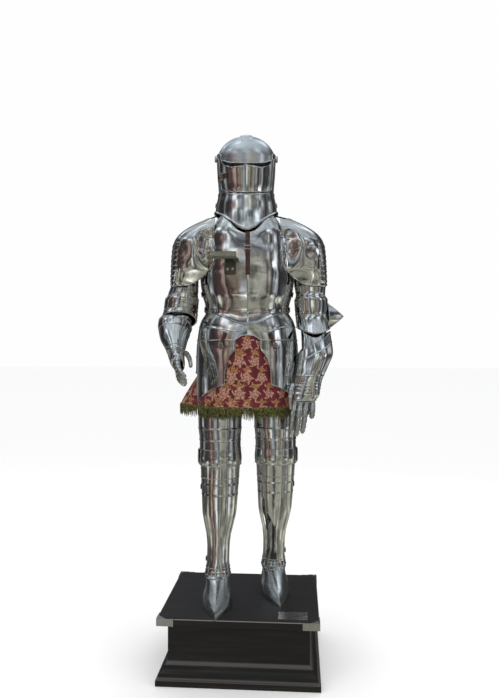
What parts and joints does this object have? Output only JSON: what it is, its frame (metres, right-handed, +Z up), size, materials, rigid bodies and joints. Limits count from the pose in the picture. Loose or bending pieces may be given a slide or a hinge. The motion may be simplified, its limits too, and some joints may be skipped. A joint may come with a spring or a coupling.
{
  "type": "tournament armour on a display plinth",
  "caption": "A closed tournament armour of polished steel plates with a fringed brocade skirt, standing hollow on a dark wooden display plinth.",
  "frame": {"origin": "The middle of the plinth's underside.", "axes": "+Z is up and -Y is the front that the armour's chest faces, apart from its turn of 5 degrees on the plinth. +X is the armour's left."},
  "size_m": [0.7314, 0.5237, 2.046],
  "materials": {
    "mirror": "mirror-polished plate steel",
    "satin": "satin blue-grey plate steel",
    "worn": "worn, slightly tarnished plate steel",
    "leather": "dark red-brown strap leather",
    "brocade": "crimson brocade with gold flowers, rigid here",
    "bullion": "olive and gold bullion fringe, rigid here",
    "wood": "black-brown satin lacquer",
    "nickel": "nickel-plated fittings"
  },
  "bodies": {
    "armour": {"plinth_slab": "wood", "plinth_box": "wood", "corner_front_right": "nickel", "corner_front_left": "nickel", "corner_back_right": "nickel", "corner_back_left": "nickel", "plaque": "nickel", "cuisse_left": "mirror", "poleyn_left": "mirror", "knee_lame_left": "mirror", "greave_left": "mirror", "ankle_lames_left": "mirror", "sabaton_left": "worn", "cuisse_right": "mirror", "poleyn_right": "mirror", "knee_lame_right": "mirror", "greave_right": "mirror", "ankle_lames_right": "mirror", "sabaton_right": "worn", "breastplate": "mirror", "backplate": "mirror", "fauld": "mirror", "tasset_left": "mirror", "hip_plate_left": "mirror", "tasset_right": "mirror", "hip_plate_right": "mirror", "skirt": "brocade", "skirt_fringe": "bullion", "pauldron_left": "mirror", "rerebrace_left": "mirror", "elbow_upper_left": "mirror", "elbow_lower_left": "mirror", "forearm_left": "mirror", "cuff_left": "mirror", "hand_left": "mirror", "fingers_left": "worn", "thumb_left": "worn", "pauldron_right": "mirror", "rerebrace_right": "mirror", "elbow_upper_right": "mirror", "elbow_lower_right": "mirror", "forearm_right": "mirror", "cuff_right": "mirror", "hand_right": "mirror", "fingers_right": "worn", "thumb_right": "worn", "helm_skull": "satin", "bevor": "mirror", "pivot_left": "mirror", "pivot_right": "mirror", "chest_strap": "leather", "shoulder_strap_left": "leather", "shoulder_strap_right": "leather", "leg_leather_left": "leather", "leg_leather_right": "leather", "lance_rest_base": "satin"},
    "visor": {"visor": "mirror", "cheek_strap": "leather"},
    "lance_rest": {"lance_rest_arm": "satin"}
  },
  "joints": [
    {"name": "visor_hinge", "type": "hinge", "parent": "armour", "child": "visor", "pos_m": [0.00845, 0.03967, 1.958], "axis": [-0.9962, -0.0872, 0], "range_deg": [0, 80]},
    {"name": "lance_rest_hinge", "type": "hinge", "parent": "armour", "child": "lance_rest", "pos_m": [-0.03697, -0.14108, 1.546], "axis": [-0.9962, -0.0872, 0], "range_deg": [0, 80]}
  ]
}
